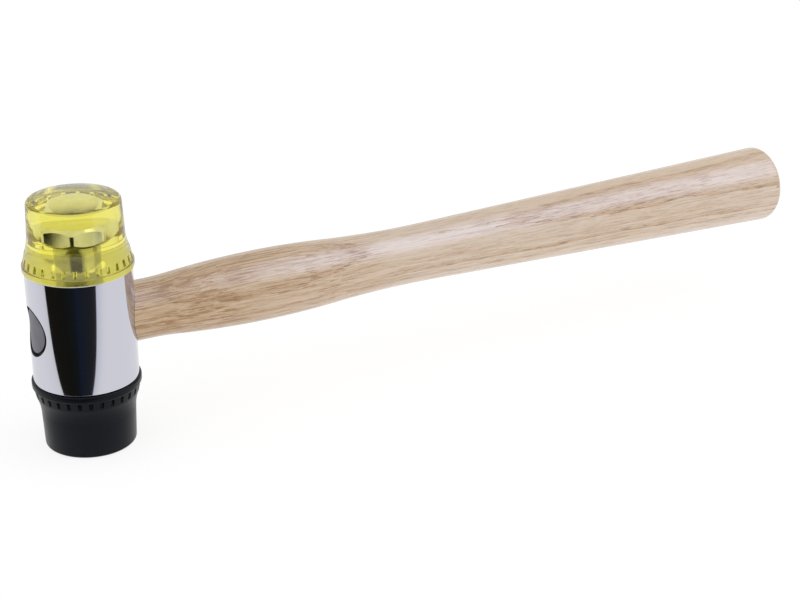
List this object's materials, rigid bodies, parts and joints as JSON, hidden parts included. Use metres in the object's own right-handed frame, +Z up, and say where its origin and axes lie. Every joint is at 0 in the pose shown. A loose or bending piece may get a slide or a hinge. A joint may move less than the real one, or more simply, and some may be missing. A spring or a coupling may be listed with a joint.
{
  "type": "doming hammer",
  "caption": "Soft-faced doming hammer: chromed barrel head with a domed clear plastic face opposite a flat black rubber face, both screwed on, and a turned pale wood handle wedged in its eye.",
  "frame": {"origin": "middle of the flat rubber striking face", "axes": "+Z up the head's axis from the rubber face to the domed clear face, +X from the head along the handle to its butt"},
  "size_m": [0.3042, 0.0364, 0.0881],
  "materials": {
    "chrome": "bright chrome plate on steel",
    "handle_wood": "sanded pale ash, thin clear coat",
    "wedge_wood": "raw hardwood",
    "filler": "flat grey resin, smooth",
    "clear_plastic": "clear yellow, polished",
    "black_rubber": "satin moulded rubber",
    "bolt_steel": "zinc plated"
  },
  "bodies": {
    "hammer": {"head_barrel": "chrome", "handle": "handle_wood", "tenon_wedge": "wedge_wood", "eye_filler": "filler"},
    "clear_striker": {"clear_face": "clear_plastic", "clear_face_bolt": "bolt_steel"},
    "rubber_striker": {"rubber_face": "black_rubber", "rubber_face_bolt": "bolt_steel"}
  },
  "joints": [
    {"name": "clear_face_unscrew", "type": "slide", "parent": "hammer", "child": "clear_striker", "axis": [0, 0, 1], "range_m": [0, 0.012]},
    {"name": "rubber_face_unscrew", "type": "slide", "parent": "hammer", "child": "rubber_striker", "axis": [0, 0, -1], "range_m": [0, 0.012]}
  ]
}
